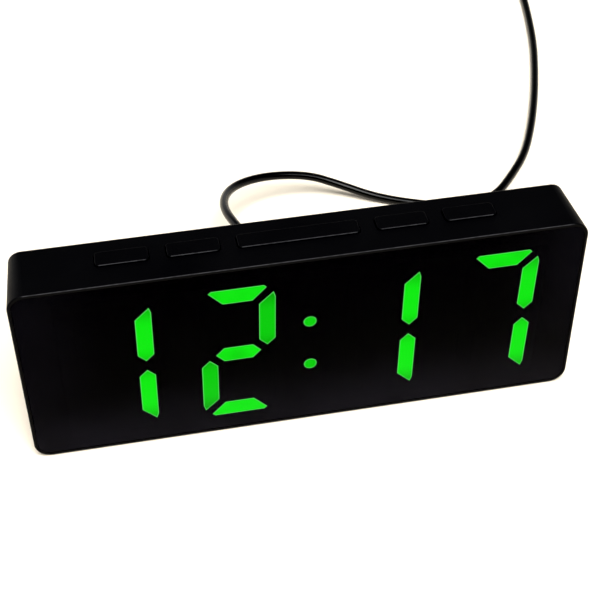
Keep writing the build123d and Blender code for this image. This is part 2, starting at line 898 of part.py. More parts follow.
# Backup cells, each a can with a nub at its plus end
cell_ways = [1 if row % 2 == 0 else -1 for row in range(cell_count)]
for name, z, way in zip(("cell_top", "cell_middle", "cell_bottom"), cell_heights, cell_ways):
    plus_end = (bay_left if way == 1 else bay_right) + way * (plate_thickness + bump_height + contact_gap)
    with BuildPart() as cell:
        with BuildSketch(Plane.XY.offset(z)):
            can_start = plus_end + way * nub_height
            can_end = plus_end + way * cell_length
            with BuildLine():
                Polyline(
                    (plus_end, cell_y),
                    (plus_end, cell_y + nub_radius),
                    (can_start, cell_y + nub_radius),
                    (can_start, cell_y + cell_radius - cell_edge_radius),
                    (can_start + way * cell_edge_radius, cell_y + cell_radius),
                    (can_end - way * cell_edge_radius, cell_y + cell_radius),
                    (can_end, cell_y + cell_radius - cell_edge_radius),
                    (can_end, cell_y),
                    (plus_end, cell_y),
                )
            make_face()
        revolve(axis=Axis((plus_end, cell_y, z), (1, 0, 0)))
    finish(cell, name)

# Contact springs: a cone of wire against the minus end of each cell
with BuildPart() as contact_springs:
    for z, way in zip(cell_heights, cell_ways):
        plate_face = (bay_right if way == 1 else bay_left) - way * plate_thickness
        wide_x = plate_face - way * (spring_wire / 2 + contact_gap)
        narrow_x = plate_face - way * (spring_length - spring_wire / 2 - contact_gap)
        quarters = 4 * spring_turns
        stations = []
        for quarter in range(quarters + 1):
            angle = quarter * pi / 2
            share = quarter / quarters
            radius = spring_wide_radius + (spring_narrow_radius - spring_wide_radius) * share
            turn_x = (narrow_x - wide_x) / (2 * pi * spring_turns)
            turn_r = (spring_narrow_radius - spring_wide_radius) / (2 * pi * spring_turns)
            turn_place = wide_x + (narrow_x - wide_x) * share
            point = Vector(turn_place, cell_y + radius * cos(angle), z + radius * sin(angle))
            ahead = Vector(
                turn_x, turn_r * cos(angle) - radius * sin(angle), turn_r * sin(angle) + radius * cos(angle)
            )
            stations.append((point, ahead.normalized()))
        with BuildLine() as spring_line:
            biarc_path(stations)
        with BuildSketch(Plane(stations[0][0], z_dir=stations[0][1])):
            Circle(spring_wire / 2)
        sweep(path=spring_line.wire())
finish(contact_springs, "contact_springs")


# Contact plates, let into the ends of the bay
def contact_plate(face_x, way, low_z, high_z, bump_z):
    """A plate against the bay's end at face_x, reaching way, with a bump for a plus end."""
    with Locations((face_x + way * plate_thickness / 2, cell_y, (low_z + high_z) / 2)):
        Box(plate_thickness, plate_side, high_z - low_z)
    if bump_z is not None:
        bump_x = face_x + way * (plate_thickness + bump_height / 2)
        with Locations(Location((bump_x, cell_y, bump_z), (0, 90, 0))):
            Cylinder(bump_radius, bump_height)


half_plate = plate_side / 2
high_cell, middle_cell, low_cell = cell_heights
with BuildPart() as contact_plates_left:
    contact_plate(bay_left, 1, high_cell - half_plate, high_cell + half_plate, high_cell)
    contact_plate(bay_left, 1, low_cell - half_plate, middle_cell + half_plate, low_cell)
    with Locations((bay_left + plate_thickness / 2, cell_y, (high_cell + tab_high) / 2)):
        Box(plate_thickness, tab_width, tab_high - high_cell)
finish(contact_plates_left, "contact_plates_left")
with BuildPart() as contact_plates_right:
    contact_plate(bay_right, -1, middle_cell - half_plate, high_cell + half_plate, middle_cell)
    contact_plate(bay_right, -1, low_cell - half_plate, low_cell + half_plate, None)
    with Locations((bay_right - plate_thickness / 2, cell_y, (low_cell + tab_low) / 2)):
        Box(plate_thickness, tab_width, low_cell - tab_low)
finish(contact_plates_right, "contact_plates_right")


def wire(name, points, bend):
    """A round wire along the points, with its bends rounded."""
    start, following = Vector(*points[0]), Vector(*points[1])
    with BuildPart() as strand:
        with BuildLine() as line:
            FilletPolyline(*points, radius=bend)
        with BuildSketch(Plane(start, z_dir=following - start)):
            Circle(wire_radius)
        sweep(path=line.wire())
    finish(strand, name)


# Wires inside the case
red_x = bay_left + plate_thickness / 2
black_x = bay_right - plate_thickness / 2
red_z = tab_high + battery_wire_rise
black_z = tab_low - battery_wire_rise
wire(
    "battery_wire_red",
    [(red_x, cell_y, tab_high), (red_x, cell_y, red_z), (red_x, board_back, red_z)],
    wire_bend,
)
wire(
    "battery_wire_black",
    [(black_x, cell_y, tab_low), (black_x, cell_y, black_z), (black_x, board_back, black_z)],
    wire_bend,
)
flange_front = inner_back - grip_flange_thickness
connector_back = board_back + connector_size[1]
middle_y = (flange_front + connector_back) / 2
power_wire_bend = power_wire_bend_share * (flange_front - middle_y)
for name, way in (("power_wire_red", 1), ("power_wire_black", -1)):
    z = grip_z + way * wire_spacing / 2
    wire(
        name,
        [
            (grip_x, flange_front, z),
            (grip_x, middle_y, z),
            (connector_x, middle_y, z),
            (connector_x, connector_back, z),
        ],
        power_wire_bend,
    )

# Cord grip: flange inside, collar outside and a tapered, grooved bend relief
collar_back = back_y + grip_collar_thickness
relief_end = back_y + grip_length
grip_tip_radius = cord_diameter / 2 + relief_wall
with BuildPart() as cord_grip:
    with BuildSketch(Plane.XY.offset(grip_z)):
        with BuildLine():
            Polyline(
                (grip_x, flange_front),
                (grip_x + grip_flange_radius, flange_front),
                (grip_x + grip_flange_radius, inner_back),
                (grip_x + grip_neck_radius, inner_back),
                (grip_x + grip_neck_radius, back_y),
                (grip_x + grip_collar_radius, back_y),
                (grip_x + grip_collar_radius, collar_back),
                (grip_x + grip_neck_radius, collar_back),
                (grip_x + grip_tip_radius, relief_end),
                (grip_x, relief_end),
                (grip_x, flange_front),
            )
        make_face()
    revolve(axis=Axis((grip_x, back_y, grip_z), (0, 1, 0)))
    groove_pitch = (relief_end - collar_back) / (grip_groove_count + 1)
    for groove in range(grip_groove_count):
        y = collar_back + (groove + 1) * groove_pitch
        share = (y - collar_back) / (relief_end - collar_back)
        radius = grip_neck_radius + (grip_tip_radius - grip_neck_radius) * share
        with BuildSketch(facing(y)):
            with Locations((grip_x, grip_z)):
                Circle(grip_collar_radius)
                Circle(radius - grip_groove_depth, mode=Mode.SUBTRACT)
        extrude(amount=-grip_groove_width, mode=Mode.SUBTRACT)
finish(cord_grip, "cord_grip")

# Power cord from the grip to the coil
corners = [Vector(*point) for point in cord_route]
runs = [b - a for a, b in zip(corners[:-1], corners[1:])]
bends = []
for before, after in zip(runs[:-1], runs[1:]):
    half_turn = radians(before.get_angle(after)) / 2
    bends.append(arc_share * min(before.length, after.length) / tan(half_turn))
print("cord radii", [round(bend, 1) for bend in bends])
with BuildPart() as power_cord:
    with BuildLine() as cord_line:
        FilletPolyline(*cord_route, radius=bends)
    with BuildSketch(Plane(corners[0], z_dir=runs[0])):
        Circle(cord_diameter / 2)
    sweep(path=cord_line.wire())
finish(power_cord, "power_cord")
cord_length = cord_line.wire().length
print("cord length", round(cord_length, 1))
print("tube volume share", round(power_cord.part.volume / (pi * cord_diameter**2 / 4 * cord_length), 4))

# Coil of the rest of the cord: in along the floor, up a layer, out again, and on to the plug
entry = corners[-1]
coil_pitch = cord_diameter + coil_gap
turned_at = layer_quarters + climb_quarters / 2
coil_outer_radius = coil_mean_radius + coil_pitch * turned_at / 8
coil_centre = Vector(entry.X - coil_outer_radius, entry.Y + cord_diameter, entry.Z)


def coil_place(quarter):
    """Point and direction of the coil's centre line after so many quarter turns."""
    angle = quarter * pi / 2
    inward = min(quarter, 2 * turned_at - quarter)
    radius = coil_outer_radius - coil_pitch * inward / 4
    climbed = min(max((quarter - layer_quarters) / climb_quarters, 0), 1)
    closing = 0 if quarter == turned_at else (-1 if quarter < turned_at else 1) * coil_pitch / (2 * pi)
    rising = coil_pitch / (climb_quarters * pi / 2) if 0 < climbed < 1 else 0
    outward = Vector(cos(angle), sin(angle), 0)
    ahead = Vector(-sin(angle), cos(angle), 0)
    point = coil_centre + outward * radius + Vector(0, 0, coil_pitch * climbed)
    return point, (outward * closing + ahead * radius + Vector(0, 0, rising)).normalized()


coil_stations = [(Vector(entry.X, coil_centre.Y, entry.Z), Vector(0, 1, 0))]
coil_stations += [coil_place(quarter) for quarter in range(1, coil_quarters)]
last_point, last_way = coil_place(coil_quarters)
coil_stations.append((last_point, Vector(-1, 0, 0)))
plug_z = plug_height / 2
tail_end = Vector(last_point.X - tail_length, last_point.Y, plug_z)
coil_stations.append((tail_end + Vector(cord_diameter, 0, 0), Vector(-1, 0, 0)))
with BuildPart() as cord_coil:
    with BuildLine() as coil_line:
        Line(entry, coil_stations[0][0])
        biarc_path(coil_stations)
        Line(coil_stations[-1][0], tail_end)
    with BuildSketch(Plane(entry, z_dir=(0, 1, 0))):
        Circle(cord_diameter / 2)
    sweep(path=coil_line.wire())
finish(cord_coil, "cord_coil")
coil_wire = coil_line.wire()
samples = round(coil_wire.length / (cord_diameter / 4))
line_points = np.array([tuple(coil_wire.position_at(i / samples)) for i in range(samples + 1)])
apart = round(4 * cord_diameter / (coil_wire.length / samples))
gap = min(
    np.linalg.norm(line_points[i + apart :] - line_points[i], axis=1).min() for i in range(samples - apart)
)
print("coil length", round(coil_wire.length, 1), "least gap", round(gap - cord_diameter, 2))

# Coil tie: a strap round the turns on the far side of the coil
tie_turns = [
    coil_outer_radius - coil_pitch * min(quarter, 2 * turned_at - quarter) / 4
    for quarter in range(2, coil_quarters, 4)
]
tie_inner = min(tie_turns) - cord_diameter / 2 - tie_gap
tie_outer = max(tie_turns) + cord_diameter / 2 + tie_gap
tie_low = entry.Z - cord_diameter / 2 - tie_gap
tie_high = entry.Z + coil_pitch + cord_diameter / 2 + tie_gap
with BuildPart() as coil_tie:
    with BuildSketch(facing(coil_centre.Y - tie_width / 2)):
        with Locations((coil_centre.X - (tie_inner + tie_outer) / 2, (tie_low + tie_high) / 2)):
            RectangleRounded(
                tie_outer - tie_inner + 2 * tie_thickness,
                tie_high - tie_low + 2 * tie_thickness,
                tie_corner + tie_thickness,
            )
            RectangleRounded(tie_outer - tie_inner, tie_high - tie_low, tie_corner, mode=Mode.SUBTRACT)
    extrude(amount=-tie_width)
finish(coil_tie, "coil_tie")

# USB plug, pointing away to the left of the coil
boot_end = tail_end.X - plug_boot_length
body_end = boot_end - plug_length
usb_end = body_end - usb_length
plug_y = tail_end.Y


def across_plug(x):
    """Sketch plane square to the plug at x, with Y to the left and Z up."""
    return Plane(origin=(x, plug_y, plug_z), x_dir=(0, 1, 0), z_dir=(1, 0, 0))


with BuildPart() as usb_overmould:
    with BuildSketch(across_plug(body_end)):
        RectangleRounded(plug_width, plug_height, plug_corner)
    extrude(amount=plug_length)
    fillet(usb_overmould.faces().sort_by(Axis.X)[0].edges(), radius=plug_edge_radius)
    fillet(usb_overmould.faces().sort_by(Axis.X)[-1].edges(), radius=plug_edge_radius)
    with BuildSketch(across_plug(boot_end)):
        Circle(plug_boot_radius)
    with BuildSketch(across_plug(tail_end.X)):
        Circle(grip_tip_radius)
    loft()
finish(usb_overmould, "usb_overmould")
with BuildPart() as usb_shell:
    with BuildSketch(across_plug(usb_end)):
        Rectangle(usb_width, usb_height)
        Rectangle(usb_width - 2 * usb_wall, usb_height - 2 * usb_wall, mode=Mode.SUBTRACT)
    extrude(amount=usb_length)
    window_x = usb_end + usb_window_setback
    window_z = plug_z + (usb_height - usb_wall) / 2
    for side in (-1, 1):
        with Locations((window_x, plug_y + side * usb_window_spacing / 2, window_z)):
            Box(usb_window, usb_window, usb_wall, mode=Mode.SUBTRACT)
finish(usb_shell, "usb_shell")
tongue_bottom = plug_z - usb_height / 2 + usb_wall + tongue_gap
tongue_front = usb_end + tongue_setback
with BuildPart() as usb_tongue:
    with BuildSketch(Plane.XY.offset(tongue_bottom)):
        with Locations(((tongue_front + body_end) / 2, plug_y)):
            Rectangle(body_end - tongue_front, usb_width - 2 * (usb_wall + tongue_gap))
    extrude(amount=tongue_thickness)
finish(usb_tongue, "usb_tongue")
with BuildPart() as usb_contacts:
    with BuildSketch(Plane.XY.offset(tongue_bottom + tongue_thickness)):
        with Locations((tongue_front + tongue_setback + contact_length / 2, plug_y)):
            with GridLocations(0, contact_pitch, 1, contact_count):
                Rectangle(contact_length, contact_width)
    extrude(amount=contact_thickness)
finish(usb_contacts, "usb_contacts")
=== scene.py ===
from math import cos, pi, radians, sin

import bmesh
import bpy
from bpy.props import FloatProperty, FloatVectorProperty, PointerProperty
from mathutils import Matrix, Vector


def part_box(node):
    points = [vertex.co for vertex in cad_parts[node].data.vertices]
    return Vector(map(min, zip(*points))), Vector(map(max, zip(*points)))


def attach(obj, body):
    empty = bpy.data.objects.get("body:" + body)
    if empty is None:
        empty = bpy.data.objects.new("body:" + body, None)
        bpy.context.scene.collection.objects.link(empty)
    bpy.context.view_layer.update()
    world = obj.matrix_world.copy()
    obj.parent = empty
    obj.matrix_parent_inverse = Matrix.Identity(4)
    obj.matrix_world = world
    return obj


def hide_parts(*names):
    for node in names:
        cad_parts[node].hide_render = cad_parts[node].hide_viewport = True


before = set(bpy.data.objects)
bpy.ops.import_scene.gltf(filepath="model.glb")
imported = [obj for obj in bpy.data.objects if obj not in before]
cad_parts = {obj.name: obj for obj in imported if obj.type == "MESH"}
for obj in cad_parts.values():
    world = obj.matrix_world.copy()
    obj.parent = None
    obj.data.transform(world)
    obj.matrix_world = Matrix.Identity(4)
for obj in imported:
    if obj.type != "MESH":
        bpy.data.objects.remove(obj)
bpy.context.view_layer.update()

bl_info = {
    "name": "Slim LED desk clock",
    "version": (1, 0, 0),
    "blender": (4, 5, 0),
    "location": "3D View > Sidebar > Desk clock",
    "description": "Finishes a slim LED desk clock part by part",
    "category": "Object",
}

MM = 0.001
CASE_LOW, CASE_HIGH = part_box("rear_shell")
FILM_LOW, FILM_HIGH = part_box("front_film")


def srgb(colour):
    """Linear red, green and blue of an sRGB hex colour."""
    shares = [int(colour[i : i + 2], 16) / 255 for i in (1, 3, 5)]
    return [c / 12.92 if c <= 0.04045 else ((c + 0.055) / 1.055) ** 2.4 for c in shares]


def opaque(colour):
    """The same colour with full cover."""
    return (*colour, 1.0)


def colour_prop(name, description, colour):
    """A colour setting whose default is an sRGB hex colour."""
    return FloatVectorProperty(
        name=name, description=description, subtype="COLOR", min=0.0, max=1.0, default=srgb(colour)
    )


def length_prop(name, description, millimetres):
    """A length setting whose default is given in millimetres."""
    return FloatProperty(
        name=name,
        description=description,
        subtype="DISTANCE",
        unit="LENGTH",
        default=millimetres * MM,
        precision=5,
    )


class CaseSettings(bpy.types.PropertyGroup):
    """Finish of the case, its keys and its door"""

    plastic: colour_prop("Plastic", "Black of the moulded case", "#020203")
    worn_plastic: colour_prop("Worn plastic", "Black where the case has been handled", "#080809")
    # Painted light: the rear face is painted a lighter charcoal in place of light falling on it
    back_painted_light: colour_prop("Back plastic", "Charcoal of the dusty rear face", "#222226")
    # Painted highlight: a grey painted along the front edges in place of the light they catch
    painted_edge_highlight: colour_prop(
        "Polished edge", "Grey of the front edges, rubbed bright by fingers", "#373739"
    )
    highlight_reach: length_prop(
        "Edge reach", "How far from the crown of a rounded edge that grey fades out", 0.04
    )
    grain: length_prop("Grain", "Size of the mould's grain, drawn coarser than it is", 0.35)
    grain_height: length_prop("Grain height", "Height of that grain", 0.012)


class DisplaySettings(bpy.types.PropertyGroup):
    """Window and lit segments"""

    window: colour_prop("Window", "Smoked acrylic of the window", "#020203")
    # Painted reflection: this colour paints the floor's reflection along the window's lower edge
    # and ends, and also the dust specks
    painted_reflection: colour_prop("Haze", "Dust and haze along the window's lower edge and ends", "#17161d")
    lit: colour_prop("Lit segment", "Light of a lit segment", "#12ee14")
    dim: colour_prop("Dim segment", "Light at a segment's tips", "#10b510")
    rim: colour_prop("Segment rim", "Pale light along a segment's rim", "#56de5e")
    rim_width: length_prop("Rim width", "Width of the pale rim", 0.2)
    window_gap: length_prop("Window gap", "Air between the window and the segments", 0.05)
    window_edge: length_prop("Window edge", "Bevel round the window", 0.12)


class CordSettings(bpy.types.PropertyGroup):
    """Cord and its bend relief"""

    jacket: colour_prop("Jacket", "Black of the cord's jacket", "#020202")
    diameter: length_prop("Diameter", "Thickness of the cord", 3.0)


class StageSettings(bpy.types.PropertyGroup):
    """Floor and light"""

    floor: colour_prop("Floor", "Pale floor", "#fcf0da")
    overhead: FloatProperty(
        name="Overhead light", description="Strength of the wide soft light overhead", default=4.15
    )
    # The front edges' thin grey lines also carry a painted highlight in their base colour
    strip_power: FloatProperty(
        name="Strip light",
        description="Power of the strip that draws the front edges",
        unit="POWER",
        default=7.0,
    )
    back_power: FloatProperty(
        name="Back light",
        description="Power of the light behind on the left",
        unit="POWER",
        default=3.0,
    )
    walls: FloatProperty(
        name="Walls", description="Brightness of the room near the horizon", default=0.8
    )
    ceiling: FloatProperty(
        name="Ceiling", description="Brightness of the room overhead", default=0.1
    )


def add_node(tree, kind, inputs, **settings):
    """A shader node. Each of its inputs takes a value or the output of another node."""
    node = tree.nodes.new(kind)
    for name, value in settings.items():
        setattr(node, name, value)
    for socket, value in inputs.items():
        if isinstance(value, bpy.types.NodeSocket):
            tree.links.new(value, node.inputs[socket])
        else:
            node.inputs[socket].default_value = value
    return node


def new_finish(name, roughness, metallic=0.0, specular=0.5, **values):
    """A material with a Principled surface, and its tree, surface and place on the object."""
    finish = bpy.data.materials.new(name)
    finish.use_nodes = True
    tree = finish.node_tree
    surface = tree.nodes["Principled BSDF"]
    surface.inputs["Roughness"].default_value = roughness
    surface.inputs["Metallic"].default_value = metallic
    surface.inputs["Specular IOR Level"].default_value = specular
    for socket, value in values.items():
        surface.inputs[socket].default_value = value
    place = tree.nodes.new("ShaderNodeTexCoord").outputs["Object"]
    return finish, tree, surface, place


def mottle(tree, surface, place, size, first, second):
    """Drifts the base colour between two colours in soft patches of a size."""
    inputs = {"Vector": place, "Scale": 1 / size, "Detail": 4.0}
    patches = add_node(tree, "ShaderNodeTexNoise", inputs)
    # A mix of colours takes its share as input 0 and its colours as 6 and 7, and gives output 2
    inputs = {0: patches.outputs[0], 6: opaque(first), 7: opaque(second)}
    mix = add_node(tree, "ShaderNodeMix", inputs, data_type="RGBA")
    tree.links.new(mix.outputs[2], surface.inputs["Base Color"])
    return mix


def grain(tree, surface, place, size, height):
    """Raises a fine grain of a size and height."""
    inputs = {"Vector": place, "Scale": 1 / size, "Detail": 2.0}
    grit = add_node(tree, "ShaderNodeTexNoise", inputs)
    inputs = {"Height": grit.outputs[0], "Strength": 1.0, "Distance": height}
    bump = add_node(tree, "ShaderNodeBump", inputs)
    tree.links.new(bump.outputs[0], surface.inputs["Normal"])


def vary_roughness(tree, surface, place, size, low, high):
    """Lets the roughness drift between two values in patches of a size."""
    inputs = {"Vector": place, "Scale": 1 / size, "Detail": 3.0}
    patches = add_node(tree, "ShaderNodeTexNoise", inputs)
    inputs = {
        "Value": patches.outputs[0],
        "From Min": 0.3,
        "From Max": 0.7,
        "To Min": low,
        "To Max": high,
    }
    drift = add_node(tree, "ShaderNodeMapRange", inputs)
    tree.links.new(drift.outputs[0], surface.inputs["Roughness"])


# How far apart handling shows on the case, in colour and in gloss, and how far apart the painted
# highlight along its front edges breaks up
WEAR_PATCH = 30 * MM
GLOSS_PATCH = 12 * MM
HIGHLIGHT_PATCH = 1.5 * MM
# How far in front of the rear face its lighter charcoal, painted light in place of light falling
# there, starts and is full
PAINTED_LIGHT_START = 0.15 * MM
PAINTED_LIGHT_FULL = 0.02 * MM


def eroded_abs(name, front, top, radius):
    """ABS moulded in a spark-eroded tool, with a painted highlight along its upper front edge and
    painted light on its rear face.
    """
    # Satin black with a fine dull grain that hardly reflects: its upper front edge carries a
    # painted highlight.
    # The real grain is too fine to show, so it is drawn coarser.
    settings = bpy.context.scene.clock_case
    finish, tree, surface, place = new_finish(name, 0.43, specular=0.03)
    body = mottle(tree, surface, place, WEAR_PATCH, settings.plastic, settings.worn_plastic)
    grain(tree, surface, place, settings.grain, settings.grain_height)
    vary_roughness(tree, surface, place, GLOSS_PATCH, 0.38, 0.48)
    parts = add_node(tree, "ShaderNodeSeparateXYZ", {"Vector": place}).outputs
    # On the rounding, inward plus downward from the sharp corner is least at the crown
    crown = radius * (2 - 2**0.5)
    inputs = {0: parts["Y"], 1: front - top}
    inward = add_node(tree, "ShaderNodeMath", inputs, operation="SUBTRACT")
    inputs = {0: inward.outputs[0], 1: parts["Z"]}
    from_edge = add_node(tree, "ShaderNodeMath", inputs, operation="SUBTRACT")
    # Painted highlight: a grey painted in the base colour along the crown of the front edge, broken
    # up in patches, in place of the light the edge catches
    inputs = {"Vector": place, "Scale": 1 / HIGHLIGHT_PATCH, "Detail": 3.0}
    highlight_breakup = add_node(tree, "ShaderNodeTexNoise", inputs)
    inputs = {
        "Value": highlight_breakup.outputs[0],
        "From Min": 0.35,
        "From Max": 0.6,
        "To Min": 0.45,
        "To Max": 1.0,
    }
    strength = add_node(tree, "ShaderNodeMapRange", inputs)
    inputs = {
        "Value": from_edge.outputs[0],
        "From Min": crown,
        "From Max": crown + settings.highlight_reach,
        "To Min": strength.outputs[0],
        "To Max": 0.0,
    }
    highlight_mask = add_node(tree, "ShaderNodeMapRange", inputs, interpolation_type="SMOOTHSTEP")
    # Painted light: the rear face's base colour turns to the lighter charcoal
    inputs = {
        "Value": parts["Y"],
        "From Min": CASE_HIGH.y - PAINTED_LIGHT_START,
        "From Max": CASE_HIGH.y - PAINTED_LIGHT_FULL,
    }
    painted_light_mask = add_node(tree, "ShaderNodeMapRange", inputs, interpolation_type="SMOOTHSTEP")
    inputs = {0: painted_light_mask.outputs[0], 6: body.outputs[2], 7: opaque(settings.back_painted_light)}
    back_painted = add_node(tree, "ShaderNodeMix", inputs, data_type="RGBA")
    inputs = {0: highlight_mask.outputs[0], 6: back_painted.outputs[2], 7: opaque(settings.painted_edge_highlight)}
    with_highlight = add_node(tree, "ShaderNodeMix", inputs, data_type="RGBA")
    tree.links.new(with_highlight.outputs[2], surface.inputs["Base Color"])
    return finish


def dull_plastic(name, first, second, patch):
    """Moulded plastic without gloss or raised grain; the patch is in millimetres."""
    # Flat black: nothing behind the window shines or catches the light
    finish, tree, surface, place = new_finish(name, 0.85, specular=0.03)
    mottle(tree, surface, place, patch * MM, srgb(first), srgb(second))
    vary_roughness(tree, surface, place, patch * MM, 0.8, 0.9)
    return finish


# How far the painted reflection of the floor reaches up from the window's lower edge and in from
# its ends
REFLECTION_REACH = 26 * MM
# Size of the clouds in the painted reflection, and distance between specks of dust
REFLECTION_PATCH = 14 * MM
SPECK_DISTANCE = 6 * MM


def smoked_acrylic():
    """Cast acrylic, smoked almost black."""
    # Dark glass: smooth and deep, with a painted reflection of the floor along its lower edge and
    # ends, and single specks of dust
    settings = bpy.context.scene.clock_display
    finish, tree, surface, place = new_finish(
        "smoked_acrylic", 0.16, specular=0.012, Alpha=WINDOW_COVER
    )
    parts = add_node(tree, "ShaderNodeSeparateXYZ", {"Vector": place}).outputs
    # Painted reflection of the floor: strongest at the window's lower edge, weaker towards its
    # ends, broken into clouds
    inputs = {
        "Value": parts["Z"],
        "From Min": FILM_LOW.z,
        "From Max": FILM_LOW.z + REFLECTION_REACH,
        "To Min": 0.85,
        "To Max": 0.0,
    }
    upward = add_node(tree, "ShaderNodeMapRange", inputs, interpolation_type="SMOOTHSTEP")
    sideways = add_node(tree, "ShaderNodeMath", {0: parts["X"]}, operation="ABSOLUTE")
    inputs = {
        "Value": sideways.outputs[0],
        "From Min": FILM_HIGH.x - REFLECTION_REACH,
        "From Max": FILM_HIGH.x,
        "To Min": 0.0,
        "To Max": 0.35,
    }
    outward = add_node(tree, "ShaderNodeMapRange", inputs, interpolation_type="SMOOTHSTEP")
    inputs = {0: upward.outputs[0], 1: outward.outputs[0]}
    both = add_node(tree, "ShaderNodeMath", inputs, operation="MAXIMUM")
    inputs = {"Vector": place, "Scale": 1 / REFLECTION_PATCH, "Detail": 5.0}
    clouds = add_node(tree, "ShaderNodeTexNoise", inputs)
    inputs = {0: both.outputs[0], 1: clouds.outputs[0]}
    painted_reflection = add_node(tree, "ShaderNodeMath", inputs, operation="MULTIPLY")
    inputs = {"Vector": place, "Scale": 1 / SPECK_DISTANCE}
    specks = add_node(tree, "ShaderNodeTexVoronoi", inputs)
    inputs = {
        "Value": specks.outputs["Distance"],
        "From Min": 0.02,
        "From Max": 0.035,
        "To Min": 0.9,
        "To Max": 0.0,
    }
    speck = add_node(tree, "ShaderNodeMapRange", inputs)
    inputs = {0: painted_reflection.outputs[0], 1: speck.outputs[0]}
    # One mask carries both the painted reflection and the dust specks
    painted_light_mask = add_node(tree, "ShaderNodeMath", inputs, operation="MAXIMUM")
    inputs = {0: painted_light_mask.outputs[0], 6: opaque(settings.window), 7: opaque(settings.painted_reflection)}
    mix = add_node(tree, "ShaderNodeMix", inputs, data_type="RGBA")
    tree.links.new(mix.outputs[2], surface.inputs["Base Color"])
    return finish


def clear_acrylic():
    """The window's inner face."""
    # Almost invisible: all the smoke is left to the outer face
    finish, tree, surface, place = new_finish("clear_acrylic", 0.1, specular=0.01, Alpha=0.02)
    mottle(tree, surface, place, 10 * MM, srgb("#050506"), srgb("#09090b"))
    return finish


# Colour of a diffuser without light, and size of the clouds in its light
DIFFUSER_BODY = "#06220a"
GLOW_PATCH = 7 * MM


def new_diffuser(name, share):
    """Frosted polycarbonate that gives a share of the display's light."""
    finish, tree, surface, place = new_finish(name, 0.6, specular=0.1)
    surface.inputs["Base Color"].default_value = opaque(srgb(DIFFUSER_BODY))
    surface.inputs["Emission Strength"].default_value = LIGHT_STRENGTH * share
    return finish, tree, surface, place


def even_diffuser(name, first, second, share):
    """Frosted polycarbonate diffuser of a bar, a dot or a rim."""
    # Lit evenly from behind, with faint soft clouds
    finish, tree, surface, place = new_diffuser(name, share)
    inputs = {"Vector": place, "Scale": 1 / GLOW_PATCH, "Detail": 1.0}
    clouds = add_node(tree, "ShaderNodeTexNoise", inputs)
    inputs = {
        "Value": clouds.outputs[0],
        "From Min": 0.35,
        "From Max": 0.75,
        "To Min": 0.0,
        "To Max": 0.35,
    }
    drift = add_node(tree, "ShaderNodeMapRange", inputs)
    inputs = {0: drift.outputs[0], 6: opaque(first), 7: opaque(second)}
    mix = add_node(tree, "ShaderNodeMix", inputs, data_type="RGBA")
    tree.links.new(mix.outputs[2], surface.inputs["Emission Color"])
    return finish


def post_diffuser(name, share):
    """Frosted polycarbonate diffuser of a digit's upright segments."""
    # Lit from behind: bright in the middle of each upright and weaker towards its tips
    settings = bpy.context.scene.clock_display
    finish, tree, surface, place = new_diffuser(name, share)
    parts = add_node(tree, "ShaderNodeSeparateXYZ", {"Vector": place}).outputs
    # The middle of an upright is a quarter of the digit above or below the digit's own
    low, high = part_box("hour_tens_lit")
    middle = (low.z + high.z) / 2
    quarter = (high.z - low.z) / 4
    height = add_node(tree, "ShaderNodeMath", {0: parts["Z"], 1: middle}, operation="SUBTRACT")
    away = add_node(tree, "ShaderNodeMath", {0: height.outputs[0]}, operation="ABSOLUTE")
    inputs = {0: away.outputs[0], 1: quarter}
    offset = add_node(tree, "ShaderNodeMath", inputs, operation="SUBTRACT")
    reach = add_node(tree, "ShaderNodeMath", {0: offset.outputs[0]}, operation="ABSOLUTE")
    inputs = {
        "Value": reach.outputs[0],
        "From Min": quarter * 0.35,
        "From Max": quarter * 1.1,
        "To Min": 0.0,
        "To Max": 1.0,
    }
    fade = add_node(tree, "ShaderNodeMapRange", inputs, interpolation_type="SMOOTHSTEP")
    inputs = {0: fade.outputs[0], 6: opaque(settings.lit), 7: opaque(settings.dim)}
    mix = add_node(tree, "ShaderNodeMix", inputs, data_type="RGBA")
    tree.links.new(mix.outputs[2], surface.inputs["Emission Color"])
    return finish


def lit_shape(node):
    """A copy of lit diffusers: material 0 is for their rims, 1 for uprights and 2 for bars."""
    shape = whole_faces(node)
    fronts = [face for face in shape.faces if face.normal.y < -0.9]
    rim_width = bpy.context.scene.clock_display.rim_width
    bmesh.ops.inset_individual(shape, faces=fronts, thickness=rim_width, use_even_offset=True)
    for face in fronts:
        places = [vert.co for vert in face.verts]
        across = max(p.x for p in places) - min(p.x for p in places)
        upward = max(p.z for p in places) - min(p.z for p in places)
        face.material_index = 2 if across > upward else 1
    return shape


# Distance between the copper tracks under the solder mask
TRACK_DISTANCE = 8 * MM


def solder_mask():
    """Green solder mask screened over copper tracks."""
    # Glossy green lacquer with faint lighter lines where copper runs below
    finish, tree, surface, place = new_finish("solder_mask", 0.35)
    inputs = {
        "Vector": place,
        "Scale": 1 / TRACK_DISTANCE,
        "Mortar Size": 0.03,
        "Color1": opaque(srgb("#0d4a24")),
        "Color2": opaque(srgb("#0f5128")),
        "Mortar": opaque(srgb("#1f6d3a")),
    }
    tracks = add_node(tree, "ShaderNodeTexBrick", inputs)
    tree.links.new(tracks.outputs[0], surface.inputs["Base Color"])
    grain(tree, surface, place, 1.5 * MM, 0.01 * MM)
    return finish


def plain_finish(name, first, second, roughness, patch, texture, height, **values):
    """A surface with soft colour drift and a fine texture, for the small parts.

    The patches of colour and the texture's size and height are in millimetres.
    """
    finish, tree, surface, place = new_finish(name, roughness, **values)
    mottle(tree, surface, place, patch * MM, srgb(first), srgb(second))
    grain(tree, surface, place, texture * MM, height * MM)
    return finish


def paint(nodes, finish):
    """Gives CAD parts a material in place of their own."""
    for node in nodes:
        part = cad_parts[node]
        part.data.materials.clear()
        part.data.materials.append(finish)


